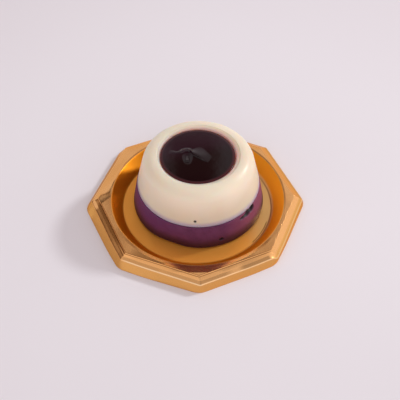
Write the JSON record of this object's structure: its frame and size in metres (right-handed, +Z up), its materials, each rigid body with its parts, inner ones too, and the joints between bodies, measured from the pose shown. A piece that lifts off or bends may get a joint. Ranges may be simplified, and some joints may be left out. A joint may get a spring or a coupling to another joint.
{
  "type": "blueberry cheesecake",
  "caption": "Single-serve moulded cheesecake with a purple blueberry layer, an ivory cheese layer and dark glossy blueberry jelly on top, in the round well of an octagonal gold tray",
  "frame": {"origin": "on the table under the middle of the tray's eight-sided foot", "axes": "+Z up; corners of the foot on X and Y; the pictured front faces -Y"},
  "size_m": [0.1152, 0.1152, 0.035],
  "materials": {
    "gold_tray": "satin gold metallised plastic",
    "blueberry_mousse": "soft set mousse, slightly moist",
    "cream_cheese": "smooth set cream cheese, slightly moist",
    "blueberry_jelly": "wet glossy jelly"
  },
  "bodies": {
    "root": {"tray": "gold_tray", "berry_layer": "blueberry_mousse", "cheese_layer": "cream_cheese", "jelly": "blueberry_jelly"}
  },
  "joints": []
}
